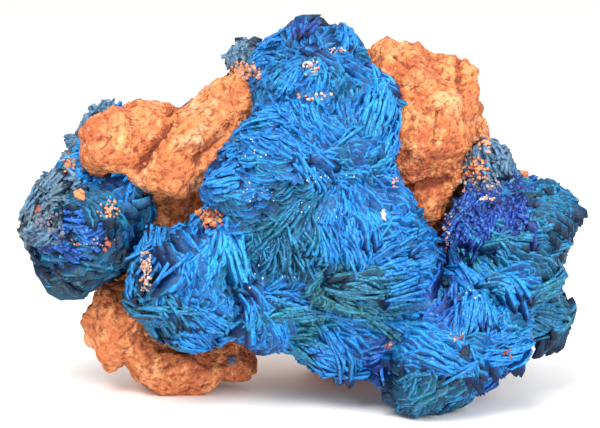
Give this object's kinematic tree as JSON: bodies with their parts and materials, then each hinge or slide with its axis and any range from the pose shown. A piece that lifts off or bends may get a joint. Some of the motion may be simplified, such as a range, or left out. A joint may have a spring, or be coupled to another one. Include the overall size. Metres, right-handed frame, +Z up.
{
  "type": "azurite crystal specimen",
  "caption": "Free-standing mineral hand specimen: fanned rosettes of blue bladed azurite crystals grown on lumpy orange sandstone that serves as its feet.",
  "frame": {"origin": "middle of the specimen's outline in X and Y, on the surface it stands on", "axes": "+X to the right across the width as displayed, +Y to the back, +Z up"},
  "size_m": [0.0612, 0.0334, 0.0421],
  "materials": {
    "sandstone": "matte",
    "azurite": "satin",
    "teal_azurite": "satin"
  },
  "bodies": {
    "root": {"sandstone_matrix": "sandstone", "azurite_main_cluster": "azurite", "azurite_left_cluster": "teal_azurite", "azurite_right_cluster": "teal_azurite", "azurite_top_left_sprig": "teal_azurite", "azurite_back_upper_rosette": "azurite", "azurite_back_lower_rosette": "azurite"}
  },
  "joints": []
}
